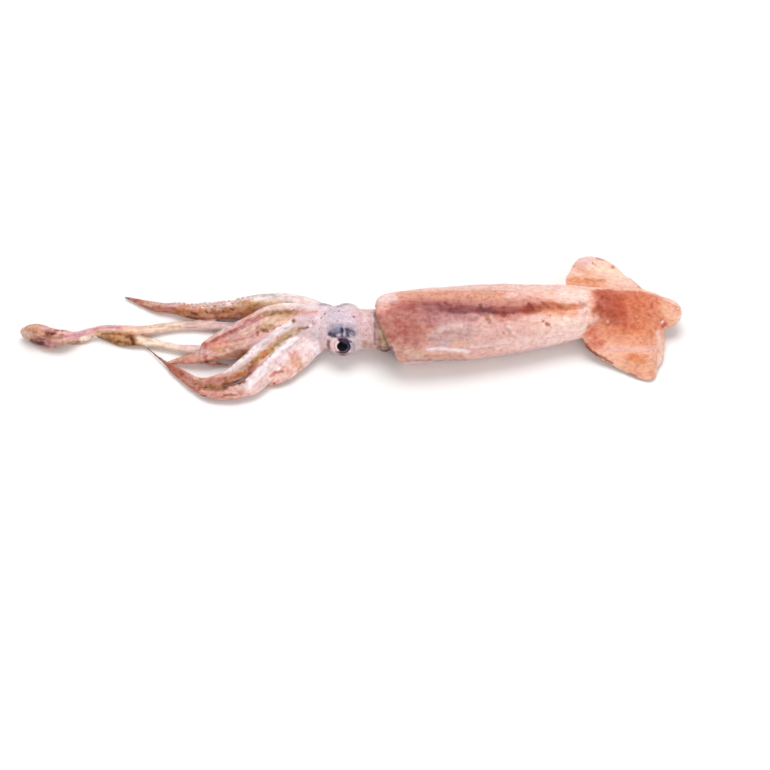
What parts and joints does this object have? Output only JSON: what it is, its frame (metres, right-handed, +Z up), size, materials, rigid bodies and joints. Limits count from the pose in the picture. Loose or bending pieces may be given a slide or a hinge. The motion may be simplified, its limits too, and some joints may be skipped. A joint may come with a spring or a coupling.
{
  "type": "whole raw squid",
  "caption": "Whole raw squid lying on its belly: a tapering mantle with side fins, a head with large eyes, suckered arms and long twisted tentacles.",
  "frame": {"origin": "on the flat spot of the mantle's belly that rests on the table, a little forward of the mantle's middle", "axes": "+X towards the tail, +Z up, +Y away from the viewer of the picture; the arms point to -X"},
  "size_m": [0.3891, 0.1125, 0.0354],
  "materials": {
    "mantle_skin": "wet pink skin, translucent, with a dark dorsal stripe and small pigment dots",
    "arm_skin": "wet pale pink skin with brown sucker sides",
    "eye": "glossy dark blue-black eyeball with a pale rim"
  },
  "bodies": {
    "root": {"mantle": "mantle_skin", "head_and_arms": "arm_skin", "eye_left": "eye", "eye_right": "eye"}
  },
  "joints": []
}
